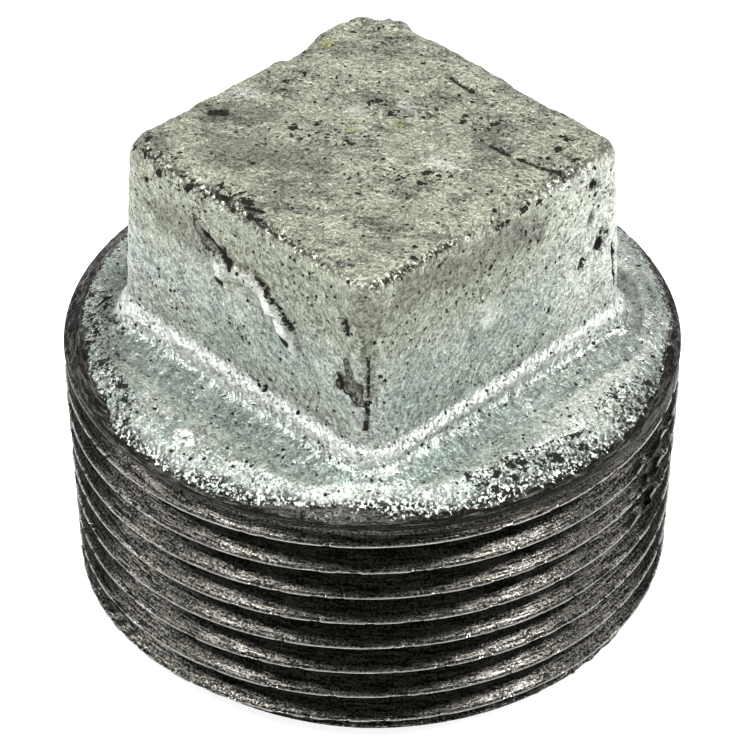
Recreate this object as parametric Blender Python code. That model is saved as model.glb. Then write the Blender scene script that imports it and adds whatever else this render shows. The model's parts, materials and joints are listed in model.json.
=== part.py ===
"""Square-head pipe plug with a 1-1/4 inch taper pipe thread, in Blender units of metres.

The plug is a single hollow casting: a threaded barrel, a shoulder with a bevelled rim, and a
drafted square head with rounded edges. The origin is the centre of the threaded end face, +Z
runs up through the head, and the head's four wrench flats face +X, +Y, -X and -Y.

The casting is lofted round the Z axis. Its section is worked out at each column angle, as a
list of (radius, height) pairs from the top of the core hollow, down and out over the end face,
and up the outside to the middle of the head. Neighbouring sections are joined by faces.
"""

import math

import bmesh
import bpy

MM = 0.001
INCH = 25.4 * MM

# Taper pipe thread: 11.5 threads per inch, and a radius that grows by 1 in 32 of the height.
PITCH = INCH / 11.5
TAPER = 1 / 32
END_CREST_RADIUS = 20.37 * MM
THREAD_DEPTH = 0.76 * PITCH
CREST_FLAT = 0.08
ROOT_FLAT = 0.06
LAST_CREST_HEIGHT = 17.32 * MM  # the highest full crest, measured on the +X side
THREAD_FADE_START = 17.2 * MM  # above this the groove gets shallower
THREAD_FADE_END = 18.7 * MM  # and here it has run out
END_CHAMFER_RADIUS = 19.37 * MM  # a 45 degree chamfer starts here on the end face
SNAP = 0.02 * MM  # thread points this close to the end of the thread lie on it

# Rim and shoulder between the thread and the head.
RIM_RADIUS = 20.85 * MM
RIM_BEVEL = [(20.6 * MM, 18.95 * MM), (19.4 * MM, 19.85 * MM), (18.9 * MM, 20.05 * MM)]
SHOULDER_HEIGHT = 20.3 * MM

# Square head.
HEAD_TOP = 34.3 * MM
HEAD_FOOT_WIDTH = 24.5 * MM  # across the flats, just above the foot fillet
HEAD_TOP_WIDTH = 23.7 * MM  # across the flats, just below the rounded top edge
HEAD_CORNER_RADIUS = 2.1 * MM
FOOT_FILLET_RADIUS = 1.9 * MM
TOP_EDGE_RADIUS = 1.3 * MM

# Core hollow: a wide cup in the barrel, with a narrower round-ended pocket in the head.
MOUTH_CHAMFER = 0.5 * MM
CUP_MOUTH_RADIUS = 14.0 * MM
CUP_ROOF_RADIUS = 13.6 * MM
CUP_ROOF_HEIGHT = 14.5 * MM
CUP_CORNER_RADIUS = 3.0 * MM
POCKET_FOOT_RADIUS = 6.8 * MM
POCKET_DOME_RADIUS = 6.5 * MM
POCKET_EDGE_RADIUS = 1.5 * MM
POCKET_TOP = 28.3 * MM

# Columns: a few close together round each head corner, and wider steps between the corners.
CORNER_SPAN = math.radians(10.8)
CORNER_STEPS = 4
FLAT_STEPS = 12

ZINC_COLOUR = (0.50, 0.53, 0.49, 1.0)
IRON_COLOUR = (0.035, 0.033, 0.030, 1.0)


def clear_scene():
    for obj in list(bpy.data.objects):
        bpy.data.objects.remove(obj)


def metal(name, colour, roughness, metallic):
    material = bpy.data.materials.new(name)
    material.use_nodes = True
    shader = material.node_tree.nodes["Principled BSDF"]
    shader.inputs["Base Color"].default_value = colour
    shader.inputs["Roughness"].default_value = roughness
    shader.inputs["Metallic"].default_value = metallic
    return material


def column_angles():
    """Angles from +X round to +X again, for both ends of the seam."""
    quarter = math.pi / 2
    angles = []
    for corner in range(4):
        middle = quarter * (corner + 0.5)
        start = middle - CORNER_SPAN / 2
        angles += [start + CORNER_SPAN * step / CORNER_STEPS for step in range(CORNER_STEPS)]
        gap = quarter - CORNER_SPAN
        start = middle + CORNER_SPAN / 2
        angles += [start + gap * step / FLAT_STEPS for step in range(FLAT_STEPS)]
    return angles + [angles[0] + 2 * math.pi]


def arc(centre, radius, start_degrees, end_degrees, steps):
    """Points (radius from the axis, height) on an arc of the section, both ends included."""
    points = []
    for step in range(steps + 1):
        turn = math.radians(start_degrees + (end_degrees - start_degrees) * step / steps)
        points.append((centre[0] + radius * math.cos(turn), centre[1] + radius * math.sin(turn)))
    return points


def rounded_square(half_width, corner_radius, angle):
    """Distance from the axis to the outline of a square with rounded corners."""
    turn = abs((angle + math.pi / 4) % (math.pi / 2) - math.pi / 4)
    straight = half_width - corner_radius
    if math.tan(turn) <= straight / half_width:
        return half_width / math.cos(turn)
    along = straight * (math.cos(turn) + math.sin(turn))
    across = straight * (math.cos(turn) - math.sin(turn))
    return along + math.sqrt(corner_radius**2 - across**2)


def hollow_section():
    """From the top of the pocket in the head, down to the mouth in the end face."""
    pocket_dome = arc((0.0, POCKET_TOP - POCKET_DOME_RADIUS), POCKET_DOME_RADIUS, 90, 0, 4)
    edge_centre = (POCKET_FOOT_RADIUS + POCKET_EDGE_RADIUS, CUP_ROOF_HEIGHT + POCKET_EDGE_RADIUS)
    pocket_edge = arc(edge_centre, POCKET_EDGE_RADIUS, 180, 270, 2)
    corner_centre = (CUP_ROOF_RADIUS - CUP_CORNER_RADIUS, CUP_ROOF_HEIGHT - CUP_CORNER_RADIUS)
    cup_corner = arc(corner_centre, CUP_CORNER_RADIUS, 90, 0, 3)
    mouth = [(CUP_MOUTH_RADIUS, MOUTH_CHAMFER), (CUP_MOUTH_RADIUS + MOUTH_CHAMFER, 0.0)]
    return pocket_dome + pocket_edge + cup_corner + mouth


def thread_radius(angle, height):
    """Outside radius of the barrel, from the trapezium-shaped thread, chamfer and rim."""
    crest = END_CREST_RADIUS + TAPER * height
    rise = LAST_CREST_HEIGHT + PITCH * angle / (2 * math.pi)
    phase = abs((height - rise) / PITCH - round((height - rise) / PITCH))
    flank = (phase - CREST_FLAT / 2) / (0.5 - CREST_FLAT / 2 - ROOT_FLAT / 2)
    fade = (THREAD_FADE_END - height) / (THREAD_FADE_END - THREAD_FADE_START)
    depth = THREAD_DEPTH * min(max(flank, 0.0), 1.0) * min(max(fade, 0.0), 1.0)
    return min(crest - depth, END_CHAMFER_RADIUS + height, RIM_RADIUS)


def thread_section(angle):
    """Up the barrel, with points at both ends of each crest and root flat."""
    phases = [-CREST_FLAT / 2, CREST_FLAT / 2, 0.5 - ROOT_FLAT / 2, 0.5 + ROOT_FLAT / 2]
    first_turn = -math.ceil(LAST_CREST_HEIGHT / PITCH) - 2
    section = []
    for turn in range(first_turn, 2):
        for phase in phases:
            height = LAST_CREST_HEIGHT + PITCH * (turn + phase + angle / (2 * math.pi))
            if height < SNAP:
                height = 0.0
            if height > THREAD_FADE_END - SNAP:
                height = THREAD_FADE_END
            section.append((thread_radius(angle, height), height))
    return section


def head_section(angle):
    """Foot fillet, drafted wrench flat and rounded top edge, ending at the top's centre."""
    section = []
    foot = (HEAD_FOOT_WIDTH / 2 + FOOT_FILLET_RADIUS, SHOULDER_HEIGHT + FOOT_FILLET_RADIUS)
    top = (HEAD_TOP_WIDTH / 2 - TOP_EDGE_RADIUS, HEAD_TOP - TOP_EDGE_RADIUS)
    for half_width, height in arc(foot, FOOT_FILLET_RADIUS, 270, 180, 4):
        corner = HEAD_CORNER_RADIUS + half_width - HEAD_FOOT_WIDTH / 2
        section.append((rounded_square(half_width, corner, angle), height))
    for half_width, height in arc(top, TOP_EDGE_RADIUS, 0, 90, 3):
        corner = HEAD_CORNER_RADIUS + half_width - HEAD_TOP_WIDTH / 2
        section.append((rounded_square(half_width, corner, angle), height))
    return section + [(0.0, HEAD_TOP)]


def whole_section(angle):
    return hollow_section() + thread_section(angle) + RIM_BEVEL + head_section(angle)


def is_thread_face(face):
    heights = [vertex.co.z for vertex in face.verts]
    radii = [math.hypot(vertex.co.x, vertex.co.y) for vertex in face.verts]
    on_barrel = max(heights) <= THREAD_FADE_END + SNAP and max(heights) > min(heights)
    return on_barrel and min(radii) > CUP_MOUTH_RADIUS + 2 * MOUTH_CHAMFER


def make_plug_body():
    """Loft the sections into one closed casting: zinc all over, bare iron on the thread."""
    bm = bmesh.new()
    columns = []
    for angle in column_angles():
        across = (math.cos(angle), math.sin(angle))
        section = whole_section(angle)
        columns.append([bm.verts.new((r * across[0], r * across[1], z)) for r, z in section])
    for left, right in zip(columns, columns[1:]):
        for row in range(len(left) - 1):
            bm.faces.new((left[row], right[row], right[row + 1], left[row + 1]))
    bmesh.ops.remove_doubles(bm, verts=bm.verts, dist=0.001 * MM)
    bmesh.ops.recalc_face_normals(bm, faces=bm.faces)
    for face in bm.faces:
        face.material_index = int(is_thread_face(face))
    mesh = bpy.data.meshes.new("plug_body")
    bm.to_mesh(mesh)
    bm.free()
    mesh.materials.append(metal("galvanised_zinc", ZINC_COLOUR, 0.42, 0.6))
    mesh.materials.append(metal("bare_thread_iron", IRON_COLOUR, 0.35, 0.9))
    mesh.shade_smooth()
    mesh.set_sharp_from_angle(angle=math.radians(35))
    body = bpy.data.objects.new("plug_body", mesh)
    bpy.context.scene.collection.objects.link(body)
    return body


clear_scene()
make_plug_body()
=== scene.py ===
"""Galvanised square-head pipe plug: its cast, coated and cut surfaces in fine detail.

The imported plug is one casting. Here it is shown as two closed meshes that meet on a flat ring
inside the metal, level with the lower edge of the rim: the galvanised head with its shoulder,
and the bare threaded barrel. Shapes are worked out in millimetres and become metres in Blender.
"""

from collections import namedtuple
import itertools
import json
import math

import bpy
import numpy as np
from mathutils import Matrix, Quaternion, Vector


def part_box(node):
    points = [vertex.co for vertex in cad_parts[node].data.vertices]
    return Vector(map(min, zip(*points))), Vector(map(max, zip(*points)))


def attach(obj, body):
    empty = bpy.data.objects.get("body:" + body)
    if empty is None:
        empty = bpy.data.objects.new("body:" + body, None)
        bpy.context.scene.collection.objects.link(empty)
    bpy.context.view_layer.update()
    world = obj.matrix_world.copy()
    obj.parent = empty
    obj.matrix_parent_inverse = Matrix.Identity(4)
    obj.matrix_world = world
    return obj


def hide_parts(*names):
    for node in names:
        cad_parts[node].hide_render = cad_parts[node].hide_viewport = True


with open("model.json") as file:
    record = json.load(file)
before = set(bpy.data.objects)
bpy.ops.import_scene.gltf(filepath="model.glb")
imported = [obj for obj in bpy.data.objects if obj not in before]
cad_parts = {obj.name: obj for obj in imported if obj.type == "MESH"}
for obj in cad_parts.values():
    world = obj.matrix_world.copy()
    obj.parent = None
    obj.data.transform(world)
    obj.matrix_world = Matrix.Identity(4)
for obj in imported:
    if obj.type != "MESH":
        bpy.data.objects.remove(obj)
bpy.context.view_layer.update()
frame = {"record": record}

MM = 0.001
NODE = "plug_body"

LOW_CORNER, HIGH_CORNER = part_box(NODE)
RIM_RADIUS = HIGH_CORNER[0] / MM
HEAD_TOP = HIGH_CORNER[2] / MM
MOUNTS = {mount["name"]: mount for mount in frame["record"]["mounts"]}
FLAT = MOUNTS["wrench_flat_plus_x"]
DRAFT = FLAT["axis"][2] / FLAT["axis"][0]

# Thread: 11.5 threads per inch and a 1 in 16 taper on the diameter.
PITCH = 25.4 / 11.5
TAPER = 1 / 32
END_CREST_RADIUS = 20.37
THREAD_DEPTH = 0.76 * PITCH
CREST_FLAT = 0.03
ROOT_FLAT = 0.06
LAST_CREST_HEIGHT = 17.32
THREAD_FADE_START = 17.2
THREAD_FADE_END = 18.7
END_CHAMFER_RADIUS = 19.37

# Casting above the thread.
BEVEL_RADIUS, BEVEL_HEIGHT = 19.4, 19.85
SHOULDER_RADIUS, SHOULDER_EDGE_HEIGHT = 18.9, 20.02
SHOULDER_HEIGHT = 20.3
FOOT_FILLET_RADIUS = 1.9
TOP_EDGE_RADIUS = 1.3
HEAD_CORNER_RADIUS = 2.1

# Core hollow.
MOUTH_CHAMFER = 0.5
CUP_MOUTH_RADIUS = 14.0
CUP_ROOF_RADIUS = 13.6
CUP_ROOF_HEIGHT = 14.5
CUP_CORNER_RADIUS = 3.0
POCKET_FOOT_RADIUS = 6.8
POCKET_DOME_RADIUS = 6.5
POCKET_EDGE_RADIUS = 1.5
POCKET_TOP = 28.3

# The zinc ran this way as it drained off the sides, and the top was wiped from side to side.
DRAIN = np.array([1.0, -1.0, -1.0]) / math.sqrt(3)
WIPE = np.array([1.0, 0.8, 0.0]) / math.hypot(1.0, 0.8)

# Mesh columns: four sides of SIDE_STEPS columns each, evenly spaced along a square's edge.
SIDE_STEPS = 144
SIDE_GRID = np.linspace(-1.0, 1.0, SIDE_STEPS + 1)
ROW_SPACING = 0.17  # for the rim, foot fillet and top edge
SHOULDER_SPACING = 0.2
FLAT_SPACING = 0.175
JOINT_STEPS = 4  # across the ring where the two meshes meet
END_FACE_STEPS = 5


# ---------------------------------------------------------------- noise

def cell_random(cell, seed):
    """A repeatable number from 0 to 1 for each whole-number cell."""
    primes = np.array([374761393, 668265263, 2246822519], np.uint32)
    mixed = (cell.astype(np.int64).astype(np.uint32) * primes).sum(-1, dtype=np.uint32)
    mixed = mixed + np.uint32(seed * 40503 + 977)
    for shift, factor in ((15, 2246822519), (13, 3266489917)):
        mixed = (mixed ^ (mixed >> np.uint32(shift))) * np.uint32(factor)
    mixed = mixed ^ (mixed >> np.uint32(16))
    return (mixed & np.uint32(0xFFFFFF)) / float(0xFFFFFF)


def noise(points, size, seed):
    """Smooth noise from -1 to 1, with bumps about size across."""
    scaled = points / size
    cell = np.floor(scaled)
    part = scaled - cell
    part = part * part * (3 - 2 * part)
    total = np.zeros(points.shape[:-1])
    for corner in itertools.product((0, 1), repeat=3):
        weight = np.prod(np.where(corner, part, 1 - part), axis=-1)
        total += weight * cell_random(cell + np.array(corner), seed)
    return 2 * total - 1


def fractal(points, size, seed, octaves=3):
    """Noise with finer and weaker noise added, from about -1 to 1."""
    total = np.zeros(points.shape[:-1])
    for octave in range(octaves):
        total += noise(points, size / 2**octave, seed + 17 * octave) / 2**octave
    return total / (2 - 2.0 ** (1 - octaves))


def pits(points, spacing, radius, share, seed):
    """Round pits scattered in space: 1 at a pit's middle, 0 outside. share of the cells hold one."""
    scaled = points / spacing
    cell = np.floor(scaled)
    deepest = np.zeros(points.shape[:-1])
    for step in itertools.product((-1, 0, 1), repeat=3):
        near = cell + np.array(step)
        middle = np.stack([cell_random(near, seed + axis) for axis in range(3)], axis=-1)
        away = np.linalg.norm(near + middle - scaled, axis=-1) * spacing
        size = radius * (0.5 + cell_random(near, seed + 3))
        there = cell_random(near, seed + 4) < share
        deepest = np.maximum(deepest, there * np.clip(1 - (away / size) ** 2, 0, 1))
    return deepest


def smooth(low, high, value):
    """0 below low, 1 above high, and a smooth rise between. high may be less than low."""
    share = np.clip((value - low) / (high - low), 0, 1)
    return share * share * (3 - 2 * share)


# ---------------------------------------------------------------- base shape

def rounded_square(half_width, corner_radius, angle):
    """Distance from the axis to the outline of a square with rounded corners."""
    turn = np.abs((angle + np.pi / 4) % (np.pi / 2) - np.pi / 4)
    straight = half_width - corner_radius
    along = straight * (np.cos(turn) + np.sin(turn))
    across = straight * (np.cos(turn) - np.sin(turn))
    on_corner = along + np.sqrt(np.maximum(corner_radius**2 - across**2, 0))
    on_flat = half_width / np.cos(turn)
    return np.where(np.tan(turn) * half_width <= straight, on_flat, on_corner)


def side_angles(side):
    """The column angles of one side, where side 0 faces +X and side 1 faces +Y."""
    return np.arctan(SIDE_GRID) + side * np.pi / 2


def whole_turn():
    """The column angles of all four sides, with the first one again at the end."""
    return np.concatenate([side_angles(side)[:-1] for side in range(4)] + [side_angles(4)[:1]])


def arc(centre, radius, start_degrees, end_degrees, steps=8):
    """Points (radius from the axis, height) on an arc of the section, both ends included."""
    turn = np.radians(np.linspace(start_degrees, end_degrees, steps + 1))
    return [(centre[0] + radius * math.cos(t), centre[1] + radius * math.sin(t)) for t in turn]


def resample(path, spacing):
    """Points evenly spaced along a path of (half width, corner radius, height)."""
    path = np.array(path)
    steps = np.hypot(np.diff(path[:, 0]), np.diff(path[:, 2]))
    length = np.concatenate([[0], np.cumsum(steps)])
    stops = np.linspace(0, length[-1], max(1, round(length[-1] / spacing)) + 1)
    return np.stack([np.interp(stops, length, column) for column in path.T], axis=1)


def round_rows(profile):
    """Rows of a turned shape: their outline is a circle."""
    return [(radius, radius, height) for radius, height in profile]


def loft(rows, angles):
    """Grid of points, one row for each (half width, corner radius, height)."""
    rows = np.array(rows)
    reach = rounded_square(rows[:, :1], rows[:, 1:2], angles[None, :])
    height = np.broadcast_to(rows[:, 2:], reach.shape)
    return np.stack([reach * np.cos(angles), reach * np.sin(angles), height], axis=-1)


def flat_half_width(height):
    """Half the width across the drafted wrench flats."""
    return (FLAT["pos_m"][0] - DRAFT * (height * MM - FLAT["pos_m"][2])) / MM


def top_outline():
    """Half width and corner radius of the flat top, inside its rounded edge."""
    half_width = flat_half_width(HEAD_TOP - TOP_EDGE_RADIUS) - TOP_EDGE_RADIUS
    return half_width, HEAD_CORNER_RADIUS - TOP_EDGE_RADIUS


def head_rows():
    """From the lower edge of the rim up to the edge of the head's flat top."""
    rim = [(RIM_RADIUS, THREAD_FADE_END), (RIM_RADIUS - 0.08, THREAD_FADE_END + 0.15)]
    rim += [(RIM_RADIUS - 0.3, THREAD_FADE_END + 0.34), (BEVEL_RADIUS, BEVEL_HEIGHT)]
    rim += [(SHOULDER_RADIUS, SHOULDER_EDGE_HEIGHT)]
    foot_height = SHOULDER_HEIGHT + FOOT_FILLET_RADIUS
    foot_width = flat_half_width(foot_height)
    fillet = []
    centre = (foot_width + FOOT_FILLET_RADIUS, foot_height)
    for half_width, height in arc(centre, FOOT_FILLET_RADIUS, 270, 180):
        fillet.append((half_width, HEAD_CORNER_RADIUS + half_width - foot_width, height))
    edge = []
    edge_width = flat_half_width(HEAD_TOP - TOP_EDGE_RADIUS)
    centre = (edge_width - TOP_EDGE_RADIUS, HEAD_TOP - TOP_EDGE_RADIUS)
    for half_width, height in arc(centre, TOP_EDGE_RADIUS, 0, 90):
        edge.append((half_width, HEAD_CORNER_RADIUS + half_width - edge_width, height))
    rim_part = resample(round_rows(rim), ROW_SPACING)
    upper_parts = [
        resample([round_rows(rim)[-1], fillet[0]], SHOULDER_SPACING),
        resample(fillet, ROW_SPACING),
        resample([fillet[-1], edge[0]], FLAT_SPACING),
        resample(edge, ROW_SPACING),
    ]
    return np.concatenate([rim_part] + [part[1:] for part in upper_parts])


def pocket_rows():
    """From the top of the pocket in the head down its wall, to the level of the rim."""
    dome = arc((0.0, POCKET_TOP - POCKET_DOME_RADIUS), POCKET_DOME_RADIUS, 90, 0, 6)
    return round_rows(dome + [(pocket_radius(THREAD_FADE_END), THREAD_FADE_END)])


def pocket_radius(height):
    """Radius of the pocket's wall between its foot and its dome."""
    low = CUP_ROOF_HEIGHT + POCKET_EDGE_RADIUS
    high = POCKET_TOP - POCKET_DOME_RADIUS
    share = (height - low) / (high - low)
    return POCKET_FOOT_RADIUS + share * (POCKET_DOME_RADIUS - POCKET_FOOT_RADIUS)


def joint_radii():
    """Radii of the flat ring where the two meshes meet, from the pocket out to the rim."""
    inner = pocket_radius(THREAD_FADE_END)
    return np.linspace(inner, RIM_RADIUS, JOINT_STEPS + 1)


def cup_profile():
    """From the pocket's wall at the level of the rim, down to the mouth and the end face."""
    edge_centre = (POCKET_FOOT_RADIUS + POCKET_EDGE_RADIUS, CUP_ROOF_HEIGHT + POCKET_EDGE_RADIUS)
    corner_centre = (CUP_ROOF_RADIUS - CUP_CORNER_RADIUS, CUP_ROOF_HEIGHT - CUP_CORNER_RADIUS)
    profile = [(pocket_radius(THREAD_FADE_END), THREAD_FADE_END)]
    profile += arc(edge_centre, POCKET_EDGE_RADIUS, 180, 270, 3)
    profile += arc(corner_centre, CUP_CORNER_RADIUS, 90, 0, 4)
    profile += [((CUP_MOUTH_RADIUS + CUP_ROOF_RADIUS) / 2, (MOUTH_CHAMFER + CUP_ROOF_HEIGHT) / 2)]
    profile += [(CUP_MOUTH_RADIUS, MOUTH_CHAMFER), (CUP_MOUTH_RADIUS + MOUTH_CHAMFER, 0.0)]
    return profile


# Positions along one pitch, from crest to crest: 0 is a crest's middle and 0.5 a root's.
UPPER_FLANK_STEPS = 7
LOWER_FLANK_STEPS = 3


def thread_phases():
    """Places along one pitch where the thread has a row of points."""
    crest, root = CREST_FLAT / 2, ROOT_FLAT / 2
    upper = np.linspace(crest, 0.5 - root, UPPER_FLANK_STEPS + 1)
    lower = np.linspace(0.5 + root, 1 - crest, LOWER_FLANK_STEPS + 1)
    return np.concatenate([upper, lower])


def thread_phase(angle, height):
    """Distance from the nearest crest's middle, in pitches, below 0 under the crest."""
    rise = LAST_CREST_HEIGHT + PITCH * angle / (2 * np.pi)
    turns = (height - rise) / PITCH
    return turns - np.round(turns)


def thread_radius(angle, height):
    """Outside radius of the barrel, from the trapezium-shaped thread, chamfer and rim."""
    crest = END_CREST_RADIUS + TAPER * height
    phase = np.abs(thread_phase(angle, height))
    flank = (phase - CREST_FLAT / 2) / (0.5 - CREST_FLAT / 2 - ROOT_FLAT / 2)
    fade = (THREAD_FADE_END - height) / (THREAD_FADE_END - THREAD_FADE_START)
    depth = THREAD_DEPTH * np.clip(flank, 0, 1) * np.clip(fade, 0, 1)
    chamfer = END_CHAMFER_RADIUS + height
    return np.minimum(np.minimum(crest - depth, chamfer), RIM_RADIUS)


def thread_grid(angles):
    """Rows that follow the thread, held between the end face and the lower edge of the rim."""
    phases = thread_phases()
    first_turn = -math.ceil(LAST_CREST_HEIGHT / PITCH) - 2
    turns = np.arange(first_turn, 3)
    pitches = (turns[:, None] + phases[None, :]).reshape(-1, 1)
    height = LAST_CREST_HEIGHT + PITCH * (pitches + angles[None, :] / (2 * np.pi))
    height = np.clip(height, 0.0, THREAD_FADE_END)
    reach = thread_radius(angles[None, :], height)
    return np.stack([reach * np.cos(angles), reach * np.sin(angles), height], axis=-1)


# ---------------------------------------------------------------- mesh building

class Skin:
    """Patches of a grid mesh, welded into one closed triangle mesh."""

    def __init__(self):
        self.points = []
        self.corners = []
        self.uvs = []
        self.count = 0

    def add(self, grid, uv_box):
        """A grid whose columns run anticlockwise and rows outwards round the section."""
        rows, columns = grid.shape[:2]
        index = np.arange(rows * columns).reshape(rows, columns) + self.count
        low_left, low_right = index[:-1, :-1].ravel(), index[:-1, 1:].ravel()
        high_left, high_right = index[1:, :-1].ravel(), index[1:, 1:].ravel()
        self.corners.append(np.stack([low_left, low_right, high_right], axis=1))
        self.corners.append(np.stack([low_left, high_right, high_left], axis=1))
        self.points.append(grid.reshape(-1, 3))
        u = np.linspace(uv_box[0], uv_box[2], columns)
        v = np.linspace(uv_box[1], uv_box[3], rows)
        self.uvs.append(np.stack(np.meshgrid(u, v), axis=-1).reshape(-1, 2))
        self.count += rows * columns

    def weld(self):
        """Points, triangles and the triangles' UVs, with doubled points made one."""
        points = np.concatenate(self.points)
        corners = np.concatenate(self.corners)
        uvs = np.concatenate(self.uvs)[corners]
        _, first, same = np.unique(
            np.round(points, 4) + 0.0, axis=0, return_index=True, return_inverse=True
        )
        triangles = same.reshape(-1)[corners]
        a, b, c = triangles.T
        whole = (a != b) & (b != c) & (c != a)
        return points[first], triangles[whole], uvs[whole]


def point_normals(points, triangles):
    """Outward unit normals at the points of a triangle mesh."""
    a, b, c = points[triangles].transpose(1, 0, 2)
    flat = np.cross(b - a, c - a)
    normals = np.zeros_like(points)
    for corner in range(3):
        np.add.at(normals, triangles[:, corner], flat)
    return normals / np.maximum(np.linalg.norm(normals, axis=1, keepdims=True), 1e-12)


def add_object(name, data):
    made = bpy.data.objects.new(name, data)
    bpy.context.scene.collection.objects.link(made)
    return made


def make_piece(name, points, triangles, uvs, masks):
    """A Blender object in metres, with one mesh attribute for each mask."""
    mesh = bpy.data.meshes.new(name)
    mesh.from_pydata((points * MM).tolist(), [], triangles.tolist())
    uv_layer = mesh.uv_layers.new(name="OFBake")
    uv_layer.uv.foreach_set("vector", uvs.reshape(-1).astype(np.float32))
    for mask_name, values in masks.items():
        attribute = mesh.attributes.new(mask_name, "FLOAT", "POINT")
        attribute.data.foreach_set("value", values.astype(np.float32))
    mesh.shade_smooth()
    return add_object(name, mesh)


def side_patches(skin, rows, boxes):
    for side, box in enumerate(boxes):
        skin.add(loft(rows, side_angles(side)), box)


def ring_patch(skin, radii, height, box):
    """A flat ring; radii that fall from outside to inside make it face up."""
    skin.add(loft([(r, r, height) for r in radii], whole_turn()), box)


def top_grid():
    """The head's flat top, as a square grid that keeps the rounded corners of its outline."""
    across, along = np.meshgrid(SIDE_GRID, SIDE_GRID)
    half_width, corner_radius = top_outline()
    level = np.maximum(np.abs(across), np.abs(along))
    angle = np.arctan2(along, across)
    reach = level * rounded_square(half_width, corner_radius, angle)
    height = np.full_like(reach, HEAD_TOP)
    return np.stack([reach * np.cos(angle), reach * np.sin(angle), height], axis=-1)


def head_skin():
    skin = Skin()
    side_patches(skin, head_rows(), [(0.0, 0.0, 0.5, 0.34), (0.5, 0.0, 1.0, 0.34),
                                     (0.0, 0.345, 0.5, 0.685), (0.5, 0.345, 1.0, 0.685)])
    skin.add(top_grid(), (0.0, 0.69, 0.31, 1.0))
    skin.add(loft(pocket_rows(), whole_turn()), (0.32, 0.69, 1.0, 0.85))
    ring_patch(skin, joint_radii(), THREAD_FADE_END, (0.32, 0.86, 1.0, 1.0))
    return skin.weld()


def barrel_skin():
    skin = Skin()
    boxes = [(0.0, 0.0, 0.5, 0.43), (0.5, 0.0, 1.0, 0.43),
             (0.0, 0.435, 0.5, 0.865), (0.5, 0.435, 1.0, 0.865)]
    for side, box in enumerate(boxes):
        skin.add(thread_grid(side_angles(side)), box)
    angles = whole_turn()
    skin.add(loft(round_rows(cup_profile()), angles), (0.0, 0.87, 1.0, 0.93))
    end_outline = np.hypot(*thread_grid(angles)[0, :, :2].T)
    mouth = CUP_MOUTH_RADIUS + MOUTH_CHAMFER
    shares = np.linspace(0, 1, END_FACE_STEPS + 1)[:, None]
    reach = mouth + shares * (end_outline[None, :] - mouth)
    end_face = np.stack([reach * np.cos(angles), reach * np.sin(angles), 0 * reach], axis=-1)
    skin.add(end_face, (0.0, 0.935, 1.0, 0.97))
    ring_patch(skin, joint_radii()[::-1], THREAD_FADE_END, (0.0, 0.975, 1.0, 1.0))
    return skin.weld()


# ---------------------------------------------------------------- surface relief

# One mark of the casting or its coating: a path over the surface, how far the mark reaches
# from it, its height, and the mask that colours it, or None. The marks are given one by one.
Mark = namedtuple("Mark", "path reach height mask")

FLAT_MIDDLE = 12.1  # from the axis to a wrench flat, half way up


def minus_y(*path):
    """A path on the -Y flat, from (x, z) pairs."""
    return [(x, -FLAT_MIDDLE, z) for x, z in path]


def plus_x(*path):
    """A path on the +X flat, from (y, z) pairs."""
    return [(FLAT_MIDDLE, y, z) for y, z in path]


def on_top(*path):
    """A path on the top, from (x, y) pairs."""
    return [(x, y, 34.3) for x, y in path]


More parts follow.
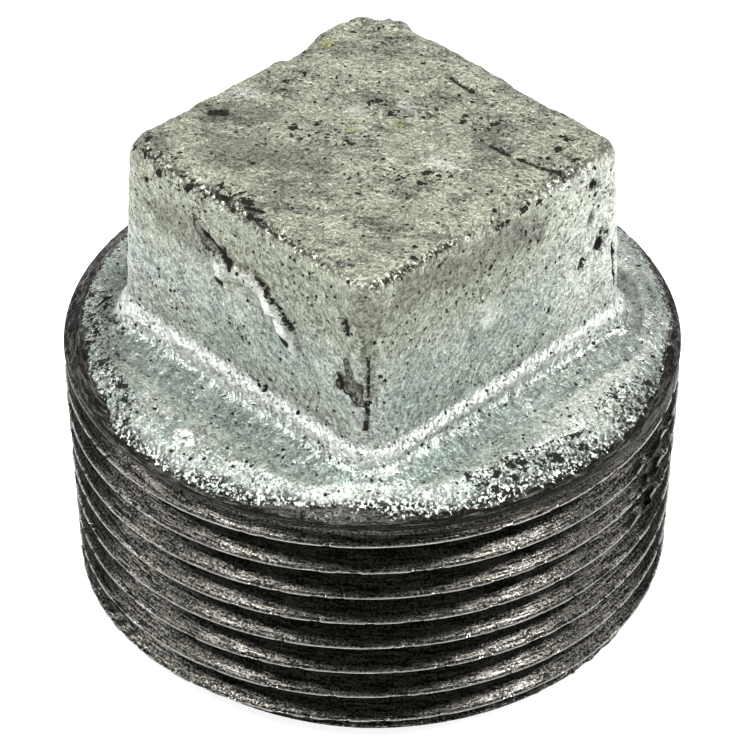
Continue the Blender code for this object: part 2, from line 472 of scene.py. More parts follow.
CRATER_RIM = [(1.0 + 0.7 * math.cos(t), -18.1 + 0.5 * math.sin(t), 20.15) for t in range(8)]
MARKS = [
    # Scar on the -Y face.
    Mark(minus_y((9.95, 27.9), (10.2, 26.6)), 0.5, -0.2, "scar"),
    Mark(minus_y((9.7, 26.0), (10.6, 25.9)), 1.05, -0.3, "scar"),
    Mark(minus_y((10.6, 25.5), (11.4, 25.0)), 0.7, -0.25, "scar"),
    Mark(minus_y((10.8, 24.8), (11.5, 25.0)), 0.22, -0.1, "dark"),
    Mark(minus_y((9.2, 26.3), (9.4, 25.5)), 0.25, -0.1, "dark"),
    # Fold of zinc across the -Y face: a crease with lumps below it. The crease is painted dark along
    # its upper side as shade, soft where it is shallow.
    Mark(minus_y((-1.2, 29.4), (1.2, 29.6), (3.0, 28.8)), 0.9, 0.2, "pale"),
    Mark(minus_y((3.0, 28.8), (4.1, 27.7), (5.2, 26.0)), 0.9, 0.28, "pale"),
    Mark(minus_y((-3.4, 31.0), (-1.6, 30.2), (-1.0, 29.9)), 0.5, -0.3, "dark"),
    Mark(minus_y((-1.0, 30.1), (1.0, 30.3), (2.6, 29.7)), 0.5, -0.15, "smudge"),
    Mark(minus_y((1.6, 30.0), (3.4, 29.2), (4.8, 27.8)), 0.32, -0.2, "line"),
    Mark(minus_y((4.6, 28.0), (5.7, 26.4)), 0.4, -0.12, "smudge"),
    Mark(minus_y((-2.0, 29.2), (-1.8, 28.8)), 0.85, 0.3, "white"),
    Mark(minus_y((2.7, 28.9), (3.2, 28.4)), 0.85, 0.2, "white"),
    Mark(minus_y((3.7, 27.8), (4.1, 27.3)), 0.75, 0.2, "white"),
    Mark(minus_y((3.1, 27.8), (3.3, 27.7)), 0.32, -0.15, "dark"),
    Mark(minus_y((4.1, 26.9), (4.6, 26.5)), 0.32, -0.12, "dark"),
    Mark(minus_y((-2.0, 28.2), (-1.7, 27.9)), 0.3, -0.12, "dark"),
    Mark(minus_y((-7.4, 30.6), (-5.0, 30.4), (-3.4, 30.2)), 1.7, -0.05, "smudge"),
    Mark(minus_y((-3.9, 31.2), (-2.6, 30.3)), 0.8, -0.15, "scar"),
    Mark(minus_y((-4.6, 31.9), (-1.0, 31.6), (1.2, 31.9)), 0.34, -0.1, "line"),
    # Rubbed vertical corner between the -Y and +X faces, with dark lines along it.
    Mark([(11.0, -11.4, 32.9), (11.3, -11.3, 31.0)], 1.5, -0.05, "smudge"),
    Mark([(11.3, -11.3, 31.5), (11.5, -11.5, 26.0)], 0.8, -0.05, "smudge"),
    Mark([(9.6, -12.0, 31.0), (9.8, -12.0, 30.2)], 0.45, -0.1, "line"),
    Mark([(11.4, -11.5, 28.6), (11.5, -11.6, 25.8)], 0.26, -0.06, "line"),
    Mark([(11.4, -11.6, 25.2), (11.5, -11.8, 23.2)], 0.36, -0.1, "line"),
    # Holes, bump and seam on the +X face.
    Mark(plus_x((9.2, 27.4)), 0.75, -0.45, "dark"),
    Mark(plus_x((7.6, 27.0), (7.3, 26.4)), 0.35, -0.15, "line"),
    Mark(plus_x((9.3, 28.4), (10.0, 28.0)), 0.35, -0.15, "line"),
    Mark(plus_x((8.6, 32.4)), 0.7, -0.35, "dark"),
    Mark(plus_x((8.0, 29.4), (8.5, 30.2)), 0.3, -0.2, "smudge"),
    Mark(plus_x((-1.6, 27.7), (-1.2, 26.6)), 1.3, 0.15, "pale"),
    Mark(plus_x((-5.3, 33.0), (-4.7, 33.4)), 0.45, -0.25, "dark"),
    Mark(plus_x((10.5, 26.9), (10.9, 23.3)), 0.25, -0.2, "dark"),
    Mark(plus_x((-8.5, 32.4), (3.0, 31.6)), 2.0, -0.04, "smudge"),
    # Top face: lumps and dips towards -X +Y, dark and pale patches, scratches and small chips.
    Mark([(-11.4, 11.4, 34.4)], 2.6, -0.6, None),
    Mark([(-11.4, 6.6, 34.2), (-11.0, 8.7, 34.3), (-8.4, 11.0, 34.3)], 1.2, 0.28, None),
    Mark([(-12.0, 3.4, 34.2)], 2.4, -0.3, None),
    Mark(on_top((-9.8, -5.2), (-7.2, -3.0)), 1.6, -0.12, "smudge"),
    Mark(on_top((-9.9, -5.2), (-9.3, -4.6)), 0.55, -0.15, "line"),
    Mark([(-2.0, -11.3, 34.1), (-1.6, -9.9, 34.3)], 0.3, -0.12, "line"),
    Mark([(-0.4, -11.0, 34.2), (0.9, -10.6, 34.3)], 0.2, -0.12, "dark"),
    Mark([(0.2, -11.5, 34.0), (1.2, -11.2, 34.1)], 0.25, -0.12, "dark"),
    Mark([(-2.4, -10.6, 34.2), (0.8, -11.2, 34.1)], 1.3, -0.05, "flecked"),
    Mark(on_top((-10.4, -2.6), (-9.0, -1.9)), 0.9, 0.05, "pale"),
    Mark(on_top((-1.6, 8.9), (-0.6, 8.8), (0.5, 8.8)), 0.36, -0.15, "line"),
    Mark(on_top((6.0, 5.0), (7.4, 5.1)), 0.34, -0.15, "line"),
    Mark(on_top((8.2, 5.2), (10.0, 5.6), (11.2, 6.2)), 0.32, -0.15, "line"),
    Mark(on_top((-3.1, 1.4)), 1.2, 0.03, "pale"),
    Mark(on_top((-1.4, 4.3)), 1.2, 0.03, "pale"),
    Mark(on_top((4.6, 1.0), (5.8, 1.3)), 0.9, 0.03, "pale"),
    Mark(on_top((-6.0, -7.5), (-1.0, -4.5)), 2.6, 0.0, "smudge"),
    Mark(on_top((-4.5, -2.5), (-1.5, -1.0)), 1.5, 0.0, "flecked"),
    Mark(on_top((-2.5, 2.9), (0.6, 5.6)), 1.2, 0.0, "flecked"),
    Mark(on_top((3.0, -2.5), (6.0, 0.2)), 1.2, 0.0, "flecked"),
    Mark(on_top((3.0, 6.0), (6.0, 8.5)), 1.2, 0.0, "flecked"),
    Mark(on_top((-9.0, 1.0), (-6.0, 3.0)), 1.2, 0.0, "flecked"),
    Mark([(12.6, -5.8, 33.9)], 0.7, -0.3, "scar"),
    Mark(on_top((-10.2, 5.5)), 0.8, 0.0, "tint"),
    Mark(on_top((-1.8, -0.3)), 0.7, 0.0, "tint"),
    Mark(on_top((0.0, 2.4)), 0.7, 0.0, "tint"),
    # Shoulder: a small crater, a crack, and a ridge along the foot of the +X fillet. The ridge is
    # painted pale along its length as a highlight line.
    Mark(CRATER_RIM, 0.4, 0.16, "white"),
    Mark([(1.0, -18.1, 20.1)], 0.25, -0.2, "dark"),
    Mark([(-13.8, -13.7, 20.2), (-13.5, -11.5, 20.3)], 0.25, -0.2, "dark"),
    # Painted highlight: the ridge is painted pale.
    Mark([(12.7, -12.0, 20.98), (12.65, -4.0, 21.0), (12.7, 6.0, 20.95)], 0.3, 0.1, "pale"),
    # Patches of open pits and dark scale on the shoulder and along the top's edges.
    Mark([(18.4, 4.2, 20.0), (18.4, 7.6, 20.0)], 1.6, -0.08, "flecked"),
    Mark([(17.6, -7.0, 19.9), (19.2, 0.4, 19.8)], 1.3, -0.08, "flecked"),
    Mark([(-4.0, -19.0, 19.9), (-9.0, -16.8, 19.9)], 1.5, 0.0, "flecked"),
    Mark([(-11.5, -15.0, 20.1), (-14.0, -12.5, 20.1)], 1.8, 0.0, "flecked"),
    Mark([(-11.5, -11.0, 34.0), (-4.0, -11.5, 34.0)], 1.3, -0.08, "flecked"),
    Mark([(9.5, 9.0, 34.2), (11.4, 5.0, 34.2), (11.8, 0.0, 34.0)], 1.3, -0.05, "flecked"),
]
PAINTED = ("dark", "line", "scar", "flecked", "white", "pale", "smudge", "tint")

# The bead's mask also places the painted highlight in the foot fillet, wider on the -Y side.
BEAD_HEIGHT = 21.3  # middle of the bead of zinc in the foot fillet
BEAD_RISE = 0.36  # its rise for each millimetre of its reach
BEAD_REACH, BEAD_REACH_MINUS_Y = 0.65, 0.87
EDGE_START, EDGE_FULL = 32.3, 33.6  # heights between which the top edge gets rough
SHOULDER_FADE = (19.0, 18.0)  # radii between which the rim turns into the shoulder


def path_distance(points, path):
    """Distance from each point to the nearest part of a path of straight runs."""
    path = np.array(path, float)
    nearest = np.linalg.norm(points - path[0], axis=1)
    for start, end in zip(path, path[1:]):
        run = end - start
        share = np.clip((points - start) @ run / (run @ run), 0, 1)
        away = np.linalg.norm(points - start - share[:, None] * run, axis=1)
        nearest = np.minimum(nearest, away)
    return nearest


def stretched(points, direction, factor):
    """Places squeezed along a direction, so that noise read there is drawn out along it."""
    along = points @ direction
    return points - np.outer(along * (1 - 1 / factor), direction)


def hand_marks(points):
    """Height of all the marks, and the masks that colour them."""
    height = np.zeros(len(points))
    masks = {name: np.zeros(len(points)) for name in PAINTED}
    wobble = 1 + 0.6 * fractal(points, 0.7, 71, 2)
    for mark in MARKS:
        share = np.clip(1 - path_distance(points, mark.path) * wobble / mark.reach, 0, 1)
        height += mark.height * smooth(0, 0.8, share)
        if mark.mask:
            masks[mark.mask] = np.maximum(masks[mark.mask], smooth(0, 0.7, share))
    return height, masks


def foot_distance(points):
    """Distance outwards from the foot of the head's fillet, seen from above."""
    half_width = flat_half_width(SHOULDER_HEIGHT + FOOT_FILLET_RADIUS) + FOOT_FILLET_RADIUS
    corner = HEAD_CORNER_RADIUS + FOOT_FILLET_RADIUS
    across = np.maximum(np.abs(points[:, :2]) - (half_width - corner), 0)
    return np.hypot(*across.T) - corner


def hump(value, middle, reach):
    """1 at the middle, falling smoothly to 0 at reach on either side."""
    return smooth(reach, 0, np.abs(value - middle))


def cover_depth(points):
    """How far inside the edge of the zinc a place on the rim is, below 0 on the bare iron."""
    angle = np.degrees(np.arctan2(points[:, 1], points[:, 0]))
    edge = 20.3 + 0.25 * noise(points, 2.2, 81)
    edge -= 0.95 * smooth(-98, -110, angle) + 0.7 * hump(angle, -51, 14)
    edge -= 0.35 * smooth(12, 24, angle) * smooth(80, 40, angle)
    return edge - np.hypot(points[:, 0], points[:, 1])


def bead_reach(normals):
    """How far the bead of zinc in the foot fillet, and the painted highlight on it, reach up and
    down: further on the -Y side.
    """
    on_minus_y = -normals[:, 1] > np.abs(normals[:, 0])
    return np.where(on_minus_y, BEAD_REACH_MINUS_Y, BEAD_REACH)


def head_zones(points, normals):
    """Masks for the parts of the head: its top, top edge, rim, foot fillet and shoulder."""
    height = points[:, 2]
    radius = np.hypot(points[:, 0], points[:, 1])
    top = smooth(0.75, 0.95, normals[:, 2]) * smooth(33.0, EDGE_FULL, height)
    # edge: the rounded top edge, where white flecks paint a highlight among chips.
    edge = hump(normals[:, 2], 0.75, 0.36) * smooth(EDGE_START, 33.2, height)
    edge *= 0.5 + 0.5 * smooth(-0.25, 0.25, noise(points, 3.0, 61))
    rim = smooth(19.0, 20.2, radius + 0.5 * noise(points, 2.4, 63))
    turned = np.abs(normals[:, :2]).min(1) / np.maximum(np.hypot(*normals[:, :2].T), 1e-6)
    off_corner = smooth(0.95, 0.6, turned)  # 1 on the flats, and less on the corners
    # fillet: the bead in the foot fillet, which also carries a painted highlight, kept off the
    # corners.
    fillet = hump(height, BEAD_HEIGHT, bead_reach(normals)) * off_corner * (height > 20.4)
    shoulder = (height < 20.6) * smooth(*SHOULDER_FADE, radius)
    return {"top": top, "edge": edge, "rim": rim, "fillet": fillet, "shoulder": shoulder}


def zinc_tones(points, normals, shoulder):
    """Masks for paler and burnt zinc, and for painted light and painted shade. Their places are
    given one by one.
    """
    height = points[:, 2]
    radius = np.hypot(points[:, 0], points[:, 1])
    polar = np.degrees(np.arctan2(points[:, 1], points[:, 0]))
    by_foot = smooth(0, 0.6, hump(foot_distance(points), 0.2, 2.2))
    # Paler zinc on the shoulder towards +X and +Y.
    pale_shoulder = shoulder * smooth(-20, 30, polar) * smooth(110, 80, polar)
    # Painted light: the +X flat is made lighter towards +Y.
    painted_light_flat = 0.5 * smooth(0.6, 0.8, normals[:, 0]) * smooth(0.0, 9.0, points[:, 1])
    burnt = hump(polar, -51, 15) * smooth(19.2, 19.7, radius) * smooth(20.8, 20.5, radius)
    return {
        # Painted shade in the shallow valley round the foot of the head's fillet.
        "valley_shade": by_foot * smooth(21.2, 20.8, height) * smooth(*SHOULDER_FADE, radius),
        "pale_and_painted_light": np.maximum(pale_shoulder, painted_light_flat),
        # Painted shade: the shoulder below the corner between the +X and -Y flats is darkened.
        "painted_shade": shoulder * hump(polar, -50, 42),
        # Paler towards the foot of the -Y flat.
        "paler_low_minus_y": smooth(27.0, 23.0, height) * smooth(0.5, 0.8, -normals[:, 1]),
        "high": smooth(23.0, 32.0, height),
        "burnt": burnt,
    }


def head_relief(points, normals):
    """Height of the cast surface over the plain shape, and the masks of its material."""
    height = points[:, 2]
    zones = head_zones(points, normals)
    top, shoulder = zones["top"], zones["shoulder"]
    foot = foot_distance(points)
    drained = stretched(points, DRAIN, 3.0)
    lumps = 0.16 * fractal(points, 2.4, 41, 2) - 0.12 * smooth(0.1, 0.5, fractal(points, 0.6, 43, 2))
    holes = pits(points, 2.0, 0.24, 0.12, 21)
    relief = 0.14 * fractal(points, 7.0, 3) + 0.05 * fractal(points, 1.8, 5, 2)
    relief += 0.09 * fractal(drained, 0.5, 11, 2) * (1 - 0.5 * top)
    relief += smooth(EDGE_START, EDGE_FULL, height) * (1 - top) * lumps
    bead = BEAD_RISE * bead_reach(normals) + 0.10 * noise(points, 0.38, 45)
    relief += zones["fillet"] * bead
    relief += zones["rim"] * 0.10 * fractal(points, 0.6, 51, 2)
    relief += shoulder * (0.15 * hump(foot, 3.0, 1.5) - 0.16 * hump(foot, 1.1, 1.5))
    relief -= 0.14 * holes
    mark_height, masks = hand_marks(points)
    masks["dark"] = np.maximum(masks["dark"], smooth(0.1, 0.6, holes))
    masks.update(zones)
    masks.update(zinc_tones(points, normals, shoulder))
    masks["cover"] = cover_depth(points)
    fade = smooth(THREAD_FADE_END, THREAD_FADE_END + 0.4, height)
    return fade * (relief + mark_height), masks


TEAR_MIDDLE = math.radians(21)  # where the crests are torn
TEAR_REACH = math.radians(12)


def barrel_relief(points, _normals):
    """Height of the cut surface over the plain thread, and the masks of its material."""
    height = points[:, 2]
    angle = np.arctan2(points[:, 1], points[:, 0])
    angle = np.where(angle < -np.pi / 4, angle + 2 * np.pi, angle)
    phase = thread_phase(angle, height)
    cut = smooth(17.0, 17.6, np.hypot(points[:, 0], points[:, 1]))
    fade = smooth(THREAD_FADE_END, THREAD_FADE_END - 0.4, height) * smooth(0.0, 0.1, height)
    # crest also places the painted highlight lines along the crests.
    crest = smooth(CREST_FLAT * 1.6, CREST_FLAT * 0.6, np.abs(phase)) * cut
    tear = hump(angle, TEAR_MIDDLE, TEAR_REACH)
    tear = tear * smooth(8.0, 11.0, height) * smooth(17.0, 15.5, height)
    around = points * np.array([0.25, 0.25, 1.0])
    relief = 0.02 * fractal(around, 0.3, 31, 2)
    relief -= crest * 0.09 * smooth(0.25, 0.7, noise(points, 0.7, 33))
    bitten = tear * smooth(0.2, 0.05, np.abs(phase))
    relief -= bitten * 0.5 * smooth(-0.1, 0.2, fractal(points, 0.9, 35, 2))
    end = smooth(1.9, 0.9, height)
    relief += end * 0.22 * fractal(points, 0.6, 37, 2)
    masks = {"crest": crest, "tear": bitten * cut}
    masks["groove"] = smooth(17.7, 18.1, height) * cut
    masks["washout"] = hump(height, 17.5, 0.35) * cut * hump(angle, math.radians(-15), 0.9)
    masks["end"] = end * cut
    return fade * cut * relief, masks


def set_relief(points, triangles, relief_of):
    """Points moved along their normals by their relief, none below the end face, and the masks."""
    normals = point_normals(points, triangles)
    relief, masks = relief_of(points, normals)
    moved = points + normals * relief[:, None]
    moved[:, 2] = np.maximum(moved[:, 2], 0.0)
    return moved, masks


# ---------------------------------------------------------------- materials

class Nodes:
    """Short ways to add and link the nodes of one node tree."""

    def __init__(self, tree):
        self.tree = tree

    def link(self, value, socket):
        """Feed a socket from another socket, or set its value."""
        if isinstance(value, bpy.types.NodeSocket):
            self.tree.links.new(value, socket)
        else:
            socket.default_value = value

    def node(self, kind, sockets=None, **settings):
        made = self.tree.nodes.new(kind)
        for key, value in settings.items():
            setattr(made, key, value)
        for name, value in (sockets or {}).items():
            self.link(value, made.inputs[name])
        return made

    def math(self, operation, *values, third=None):
        made = self.node("ShaderNodeMath", operation=operation)
        if third is not None:
            values += (third,)
        for value, socket in zip(values, made.inputs):
            self.link(value, socket)
        return made.outputs[0]

    def times(self, first, second):
        return self.math("MULTIPLY", first, second)

    def higher(self, first, second):
        return self.math("MAXIMUM", first, second)

    def centred(self, noise, strength):
        """Noise moved to an average of 0 and scaled, so that it fades out without a step."""
        return self.times(self.math("SUBTRACT", noise, 0.5), strength)

    def mask(self, name):
        """One of the masks stored on the mesh's points."""
        return self.node("ShaderNodeAttribute", attribute_name=name).outputs["Fac"]

    def place(self, stretch=(1, 1, 1)):
        """Position on the object in millimetres, divided by stretch along each axis."""
        coordinates = self.node("ShaderNodeTexCoord").outputs["Object"]
        sockets = {"Scale": [1 / (MM * s) for s in stretch], "Vector": coordinates}
        return self.node("ShaderNodeMapping", sockets).outputs["Vector"]

    def vector(self, operation, first, second, output="Vector"):
        made = self.node("ShaderNodeVectorMath", operation=operation)
        self.link(first, made.inputs[0])
        self.link(second, made.inputs["Scale"] if operation == "SCALE" else made.inputs[1])
        return made.outputs[output]

    def drawn_out(self, direction, factor):
        """Position in millimetres, squeezed along a direction to draw a texture out along it."""
        place = self.place()
        along = self.vector("DOT_PRODUCT", place, tuple(direction), output="Value")
        surplus = self.times(along, 1 - 1 / factor)
        return self.vector("SUBTRACT", place, self.vector("SCALE", tuple(direction), surplus))

    def noise(self, size, detail=2.0, roughness=0.5, place=None, distortion=0.0):
        """Noise from 0 to 1 with features about size millimetres across."""
        sockets = {"Scale": 1 / size, "Detail": detail, "Roughness": roughness}
        sockets.update({"Distortion": distortion, "Vector": place or self.place()})
        return self.node("ShaderNodeTexNoise", sockets).outputs["Fac"]

    def warped(self, size, reach):
        """Position in millimetres, pushed about by up to reach."""
        place = self.place()
        made = self.node("ShaderNodeTexNoise", {"Scale": 1 / size, "Vector": place})
        push = self.vector("SCALE", made.outputs["Color"], 4 * reach)
        return self.vector("ADD", place, push)

    def specks(self, spacing, radius, share):
        """Scattered uneven specks: 1 inside, 0 outside. share of the cells hold one."""
        place = self.warped(0.5 * spacing, 0.7 * radius)
        made = self.node("ShaderNodeTexVoronoi", {"Scale": 1 / spacing, "Vector": place})
        split = self.node("ShaderNodeSeparateColor", {"Color": made.outputs["Color"]})
        size = self.times(split.outputs[1], radius / spacing)
        inside = self.step(self.math("SUBTRACT", size, made.outputs["Distance"]), -0.04, 0.06)
        return self.times(inside, self.math("LESS_THAN", split.outputs[0], share))

    def step(self, value, low, high):
        """0 below low, 1 above high, smooth between. low may be more than high."""
        sockets = {"Value": value, "From Min": min(low, high), "From Max": max(low, high)}
        sockets.update({"To Min": float(low > high), "To Max": float(low <= high)})
        made = self.node("ShaderNodeMapRange", sockets, interpolation_type="SMOOTHSTEP")
        return made.outputs["Result"]

    def ragged(self, mask_name, grain, low, high, bite=0.8):
        """A mask with a torn edge: the grain, which is 0.5 on average, moves its edge about."""
        moved = self.math("MULTIPLY_ADD", grain, bite, third=self.mask(mask_name))
        return self.step(self.math("SUBTRACT", moved, bite / 2), low, high)

    def mix(self, share, first, second, blend="MIX"):
        """A colour between first, where share is 0, and second, where it is 1."""
        made = self.node("ShaderNodeMix", data_type="RGBA", blend_type=blend)
        sockets = [made.inputs[0], made.inputs[6], made.inputs[7]]
        for value, socket in zip((share, first, second), sockets):
            self.link(value, socket)
        return made.outputs[2]

    def number(self, share, first, second):
        """A number between first, where share is 0, and second, where it is 1."""
        made = self.node("ShaderNodeMix", data_type="FLOAT")
        for value, socket in zip((share, first, second), made.inputs[:1] + made.inputs[2:4]):
            self.link(value, socket)
        return made.outputs[0]

    def grey(self, level):
        """A grey from a number socket."""
        made = self.node("ShaderNodeCombineColor")
        for socket in made.inputs:
            self.link(level, socket)
        return made.outputs[0]

    def bump(self, height, distance, normal=None):
        """A normal bent by a height from 0 to 1, which stands for distance in millimetres."""
        sockets = {"Distance": distance * MM, "Height": height}
        if normal:
            sockets["Normal"] = normal
        return self.node("ShaderNodeBump", sockets).outputs["Normal"]

    def grey_ramp(self, value, stops):
        """Greys that change with a value, given as stops of (value, grey level)."""
        ramp = self.node("ShaderNodeValToRGB", {0: value})
        elements = ramp.color_ramp.elements
        while len(elements) < len(stops):
            elements.new(1.0)
        for element, (position, level) in zip(elements, stops):
            element.position = position
            element.color = (level, level, level, 1)
        return ramp.outputs[0]


class Shader(Nodes):
    """The nodes of one new material."""

    def __init__(self, name):
        self.material = bpy.data.materials.new(name)
        self.material.use_nodes = True
        super().__init__(self.material.node_tree)
        self.bsdf = self.tree.nodes["Principled BSDF"]

    def surface(self, name, value):
        """Set or feed one socket of the surface shader."""
        self.link(value, self.bsdf.inputs[name])


BLUE_ZINC = (0.325, 0.38, 0.34, 1)
PALE_ZINC = (0.44, 0.485, 0.43, 1)
OLIVE_ZINC = (0.31, 0.33, 0.26, 1)
DULL_ZINC = (0.18, 0.188, 0.148, 1)
TOP_ZINC = (0.42, 0.44, 0.34, 1)
SHOULDER_ZINC = (0.40, 0.435, 0.385, 1)
# Colour of the paler shoulder, also used as painted light on the +X flat.
PALE_AND_PAINTED_LIGHT_ZINC = (0.70, 0.73, 0.66, 1)
# Painted shade on the shoulder below the corner between the +X and -Y flats.
PAINTED_SHADE_ZINC = (0.26, 0.295, 0.255, 1)
# Painted shade for the valley round the foot of the head's fillet.
VALLEY_SHADE_ZINC = (0.235, 0.278, 0.25, 1)
WHITE_ZINC = (0.90, 0.92, 0.88, 1)
GREEN_TINT = (0.33, 0.34, 0.17, 1)
DARK_SCALE = (0.020, 0.019, 0.015, 1)
SCAR_IRON = (0.25, 0.255, 0.205, 1)
BURNT_IRON = (0.12, 0.117, 0.114, 1)
BLACK_IRON = (0.005, 0.005, 0.004, 1)
GREY_IRON = (0.15, 0.144, 0.125, 1)
BROWN_IRON = (0.085, 0.078, 0.065, 1)
# Painted highlight along the crests, also the pale chips at the torn end.
CREST_HIGHLIGHT_AND_CHIP_IRON = (0.40, 0.39, 0.36, 1)


def zinc_side_colour(shader, broad, blotches):
    """Blue and pale zinc, olive towards the top, with paler patches, painted light on the +X flat,
    and painted shade on the shoulder and round the foot of the head.
    """
    pale_shoulder = shader.times(shader.mask("shoulder"), shader.step(broad, 0.3, 0.55))
    layers = [
        (shader.ragged("high", blotches, 0.1, 1.1, 1.0), OLIVE_ZINC),
        (pale_shoulder, SHOULDER_ZINC),
        # The paler shoulder, and painted light on the +X flat.
        (shader.mask("pale_and_painted_light"), PALE_AND_PAINTED_LIGHT_ZINC),
        # Painted shade on the shoulder by the corner between the +X and -Y flats.
        (shader.ragged("painted_shade", broad, 0.1, 1.1), PAINTED_SHADE_ZINC),
        # Paler towards the foot of the -Y flat.
        (shader.ragged("paler_low_minus_y", blotches, 0.1, 1.1), SHOULDER_ZINC),
        # Painted shade in the valley round the foot of the head's fillet.
        (shader.ragged("valley_shade", broad, 0.2, 1.3), VALLEY_SHADE_ZINC),
    ]
    colour = shader.mix(shader.step(broad, 0.34, 0.66), BLUE_ZINC, PALE_ZINC)
    for share, zinc in layers:
        colour = shader.mix(share, colour, zinc)
    return colour


def with_highlights(shader, colour, flecks, rough_edge):
    """A colour with pale swirls and lumps of white zinc, and painted highlights: white flecks on the
    bead in the foot fillet, the top edge and the rim.
    """
    swirl = shader.noise(0.9, 2.0, 0.5, shader.place((1, 2.5, 1)), distortion=1.2)
    on_shoulder = shader.times(shader.mask("shoulder"), 0.7)
    swirl = shader.times(shader.step(swirl, 0.54, 0.68), on_shoulder)
    pale = shader.higher(shader.ragged("pale", flecks, 0.4, 1.2, 1.4), swirl)
    layers = [
        (pale, 0.4),
        # Painted highlight: white flecks on the bead in the foot fillet.
        (shader.times(shader.mask("fillet"), shader.step(flecks, 0.38, 0.54)), 0.9),
        # Painted highlight: sparse white flecks along the top edge and the rim.
        (shader.times(rough_edge, shader.step(flecks, 0.57, 0.63)), 0.5),
        (shader.ragged("white", flecks, 0.5, 1.1, 1.8), 0.95),
    ]
    for share, strength in layers:
        colour = shader.mix(shader.times(share, strength), colour, WHITE_ZINC)
    return colour


def blemishes(shader, top, flecks, smeared, rough_edge):
    """Where the zinc is dark: holes, chips, pinholes, cracks and clusters of open pits."""
    holes = shader.ragged("dark", flecks, 0.35, 0.7, 1.8)
    chipped = shader.times(rough_edge, shader.step(flecks, 0.54, 0.48))
    pinholes = shader.higher(shader.specks(0.75, 0.2, 0.3), shader.specks(0.4, 0.14, 0.5))
    patches = shader.step(shader.number(top, shader.noise(1.5), smeared), 0.56, 0.42)
    patches = shader.higher(patches, shader.mask("flecked"))
    patches = shader.times(patches, shader.number(top, 0.6, 1.0))
    clusters = shader.times(shader.step(flecks, 0.44, 0.38), patches)
    pitted = shader.step(shader.mask("flecked"), 0.2, 0.4)
    crackled = shader.times(shader.step(flecks, 0.47, 0.43), pitted)
    crackled = shader.times(crackled, shader.step(shader.mask("high"), 0.5, 0.1))
    open_pits = shader.times(shader.specks(0.7, 0.42, 0.7), pitted)
    dark = shader.ragged("line", flecks, 0.6, 0.9, 2.4)
    for blemish in (holes, chipped, pinholes, clusters, crackled, open_pits):
        dark = shader.higher(dark, blemish)
    return dark


def with_scars(shader, colour, flecks, blotches):
    """A colour with scars of dark scale, and iron showing on their floors."""
    scar = shader.ragged("scar", blotches, 0.3, 0.42, 1.6)
    scar_floor = shader.ragged("scar", blotches, 0.5, 0.75, 1.6)
    scar_floor = shader.times(scar_floor, shader.step(flecks, 0.38, 0.58))
    return shader.mix(scar, colour, shader.mix(scar_floor, DARK_SCALE, SCAR_IRON))


def rim_iron(shader, flecks):
    """Cut iron on the rim, beyond the edge of the zinc, with a burnt patch."""
    around = shader.noise(0.12, 3.0, 0.75, shader.place((20, 20, 1)))
    iron = shader.mix(shader.step(around, 0.48, 0.66), BLACK_IRON, GREY_IRON)
    burnt = shader.times(shader.step(flecks, 0.40, 0.60), shader.mask("burnt"))
    return shader.mix(burnt, iron, BURNT_IRON)


def zinc_normal(shader, grain, fine, dark, rough_edge):
    """Cast grain, calmer on the shoulder and the rough edges, with sunken dark marks."""
    calm = shader.higher(rough_edge, shader.mask("shoulder"))
    calm = shader.math("MULTIPLY_ADD", calm, -0.5, third=1.0)
    normal = shader.bump(shader.centred(grain, calm), 0.28)
    normal = shader.bump(shader.centred(fine, calm), 0.08, normal)
    return shader.bump(shader.math("SUBTRACT", 1.0, dark), 0.06, normal)


def zinc_material():
    """Hot-dip zinc: grainy and streaked, dull on top, chipped on its edges, gone from the rim, with
    painted highlights, painted light and painted shade.
    """
    shader = Shader("galvanised_zinc")
    top = shader.mask("top")
    # rough_edge carries chips, calmer grain, and the painted highlight flecks.
    rough_edge = shader.higher(shader.mask("edge"), shader.mask("rim"))
    fine = shader.noise(0.16, 2.0, 0.6)
    drained = shader.noise(0.34, 3.0, 0.6, shader.drawn_out(DRAIN, 2.2))
    wiped = shader.noise(0.26, 3.0, 0.65, shader.drawn_out(WIPE, 1.2))
    grain = shader.number(top, drained, wiped)
    broad = shader.noise(3.2, 4.0, 0.6)
    flecks = shader.noise(0.26, 3.0, 0.75)
    blotches = shader.noise(0.9, 4.0, 0.7)
    smeared = shader.noise(1.6, 5.0, 0.75, shader.drawn_out(WIPE, 1.6))

    top_colour = shader.mix(shader.step(smeared, 0.34, 0.60), DULL_ZINC, TOP_ZINC)
    colour = shader.mix(top, zinc_side_colour(shader, broad, blotches), top_colour)
    smudge = shader.ragged("smudge", blotches, 0.1, 1.0, 1.6)
    colour = shader.mix(shader.times(smudge, 0.75), colour, DULL_ZINC)
    colour = shader.mix(shader.ragged("tint", fine, 0.3, 1.2), colour, GREEN_TINT)
    shade = shader.step(shader.math("ADD", grain, fine), 0.70, 1.30)
    contrast = shader.number(top, 1.25, 1.2)
    darkest = shader.number(top, 0.42, 0.48)
    shade = shader.math("MULTIPLY_ADD", shade, contrast, third=darkest)
    colour = shader.mix(1.0, colour, shader.grey(shade), "MULTIPLY")

    colour = with_highlights(shader, colour, flecks, rough_edge)
    colour = with_scars(shader, colour, flecks, blotches)
    dark = blemishes(shader, top, flecks, smeared, rough_edge)
    colour = shader.mix(dark, colour, DARK_SCALE)
    bare = shader.ragged("cover", flecks, 0.06, -0.06, 1.6)
    colour = shader.mix(bare, colour, rim_iron(shader, flecks))
    shader.surface("Base Color", colour)

    shader.surface("Metallic", 0.75)
    roughness = shader.number(shader.step(drained, 0.35, 0.65), 0.42, 0.26)
    roughness = shader.number(shader.mask("fillet"), roughness, 0.30)
    shader.surface("Roughness", shader.number(dark, roughness, 0.8))
    shader.surface("Normal", zinc_normal(shader, grain, fine, dark, rough_edge))
    return shader.material


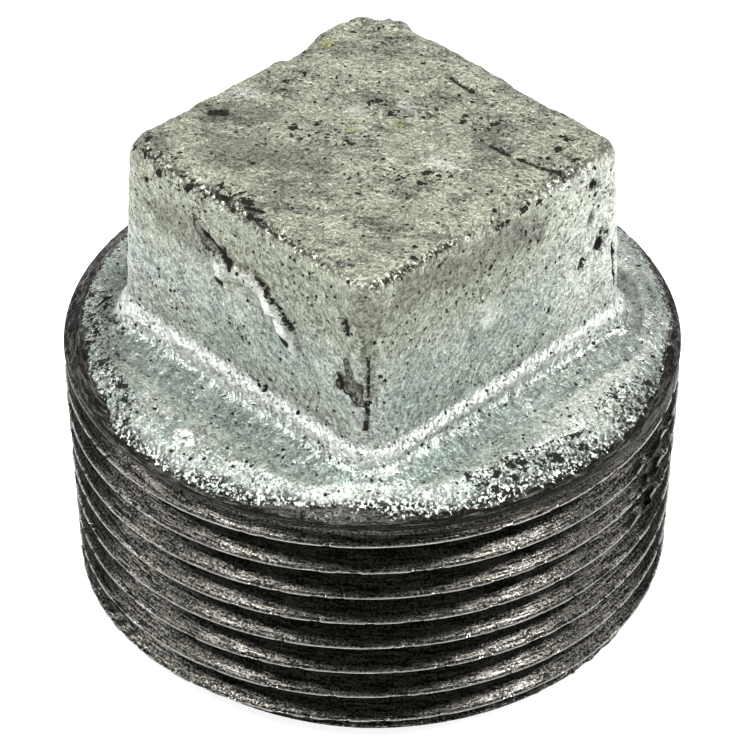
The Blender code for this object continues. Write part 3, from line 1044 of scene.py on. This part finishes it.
def thread_material():
    """Cut iron under oil: nearly black, with turning marks, a painted highlight along each crest,
    and pale chips at the torn end.
    """
    shader = Shader("cut_iron")
    lines = shader.noise(0.09, 3.0, 0.7, shader.place((22, 22, 1)))
    grain = shader.noise(0.10, 2.0, 0.6, shader.place((1.8, 1.8, 1)))
    level = shader.times(shader.math("ADD", lines, grain), 0.5)
    colour = shader.mix(shader.step(level, 0.42, 0.62), BLACK_IRON, GREY_IRON)
    washout = shader.ragged("washout", level, 0.4, 1.2, 2.0)
    colour = shader.mix(washout, colour, BROWN_IRON)
    colour = shader.mix(shader.times(shader.mask("groove"), 0.85), colour, BLACK_IRON)
    # Painted highlight: a pale line along each crest.
    colour = shader.mix(shader.ragged("crest", grain, 0.5, 1.0, 1.4), colour, CREST_HIGHLIGHT_AND_CHIP_IRON)
    colour = shader.mix(shader.ragged("tear", grain, 0.3, 1.0), colour, BLACK_IRON)
    torn_end = shader.times(shader.mask("end"), shader.step(grain, 0.56, 0.64))
    colour = shader.mix(torn_end, colour, CREST_HIGHLIGHT_AND_CHIP_IRON)
    shader.surface("Base Color", colour)
    shader.surface("Metallic", 0.95)
    shader.surface("Roughness", shader.number(shader.step(level, 0.35, 0.65), 0.32, 0.22))
    shader.surface("Normal", shader.bump(grain, 0.013, shader.bump(lines, 0.035)))
    return shader.material


# ---------------------------------------------------------------- pieces

def add_piece(name, skin, relief_of, material):
    points, triangles, uvs = skin
    points, masks = set_relief(points, triangles, relief_of)
    piece = make_piece(name, points, triangles, uvs, masks)
    piece.data.materials.append(material)
    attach(piece, "root")
    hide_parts(NODE)


# ---------------------------------------------------------------- stage

CAMERA_AZIMUTH = math.radians(45.58)
CAMERA_ELEVATION = math.radians(38.02)
CAMERA_DISTANCE = 0.28384
CAMERA_LENS = 199.74
CAMERA_TARGET_HEIGHT = 0.01477
CAMERA_SIDEWAYS = 0.00018
CAMERA_ROLL = 0.0015

# Each softbox's degrees round from the camera, degrees up, size in metres and watts.
SOFTBOX_DISTANCE = 0.8
SOFTBOXES = {
    "left_softbox": (-72, 67, (0.15, 0.42), 5.0),
    "right_softbox": (72, 67, (0.15, 0.42), 6.4),
    "left_strip": (-97, 33, (0.2, 0.3), 1.6),
    "right_strip": (97, 33, (0.2, 0.3), 1.0),
}
FLOOR_SIZE = 4.0
FLOOR_GLOW = 0.85
WORLD_STRENGTH = 0.42


def towards(azimuth, elevation):
    """Unit vector towards a place seen at this azimuth (0 is -Y, 90 degrees is +X)."""
    flat = math.cos(elevation)
    return Vector((math.sin(azimuth) * flat, -math.cos(azimuth) * flat, math.sin(elevation)))


def add_camera():
    data = bpy.data.cameras.new("camera")
    data.lens = CAMERA_LENS
    camera = add_object("camera", data)
    back = towards(CAMERA_AZIMUTH, CAMERA_ELEVATION)
    sideways = towards(CAMERA_AZIMUTH + math.pi / 2, 0) * CAMERA_SIDEWAYS
    camera.location = Vector((0, 0, CAMERA_TARGET_HEIGHT)) + sideways + back * CAMERA_DISTANCE
    roll = Quaternion((0, 0, 1), CAMERA_ROLL)
    camera.rotation_euler = (back.to_track_quat("Z", "Y") @ roll).to_euler()
    bpy.context.scene.camera = camera


def add_softbox(name, azimuth_degrees, elevation_degrees, size, power):
    data = bpy.data.lights.new(name, "AREA")
    data.shape = "RECTANGLE"
    data.size, data.size_y = size
    data.energy = power
    light = add_object(name, data)
    azimuth = CAMERA_AZIMUTH + math.radians(azimuth_degrees)
    away = towards(azimuth, math.radians(elevation_degrees))
    light.location = away * SOFTBOX_DISTANCE
    light.rotation_euler = away.to_track_quat("Z", "Y").to_euler()


def add_floor():
    bpy.ops.mesh.primitive_plane_add(size=FLOOR_SIZE, location=(0, 0, LOW_CORNER[2]))
    floor = bpy.context.object
    floor.name = "floor"
    shader = Shader("pale_floor")
    shader.surface("Base Color", (0.5, 0.5, 0.5, 1))
    shader.surface("Roughness", 0.9)
    shader.surface("Emission Color", (1, 1, 1, 1))
    shader.surface("Emission Strength", FLOOR_GLOW)
    floor.data.materials.append(shader.material)


def set_world():
    """White near the horizon and dim overhead, with dark screens behind the plug to the sides."""
    world = bpy.data.worlds.new("studio")
    bpy.context.scene.world = world
    world.use_nodes = True
    nodes = Nodes(world.node_tree)
    place = nodes.node("ShaderNodeTexCoord").outputs["Generated"]
    split = nodes.node("ShaderNodeSeparateXYZ", {"Vector": place})
    sky = nodes.grey_ramp(split.outputs["Z"], [(0.5, 1.0), (0.85, 0.05)])
    behind = -towards(CAMERA_AZIMUTH, 0)
    facing = nodes.vector("DOT_PRODUCT", place, behind, output="Value")
    screens = nodes.grey_ramp(facing, [(0.02, 1.0), (0.16, 0.3), (0.5, 0.3), (0.7, 1.0)])
    background = nodes.tree.nodes["Background"]
    nodes.link(nodes.mix(1.0, sky, screens, "MULTIPLY"), background.inputs["Color"])
    background.inputs["Strength"].default_value = WORLD_STRENGTH


bpy.context.scene.view_settings.view_transform = "Standard"
add_camera()
add_floor()
set_world()
for softbox_name, softbox in SOFTBOXES.items():
    add_softbox(softbox_name, *softbox)
add_piece("galvanised_head", head_skin(), head_relief, zinc_material())
add_piece("threaded_barrel", barrel_skin(), barrel_relief, thread_material())
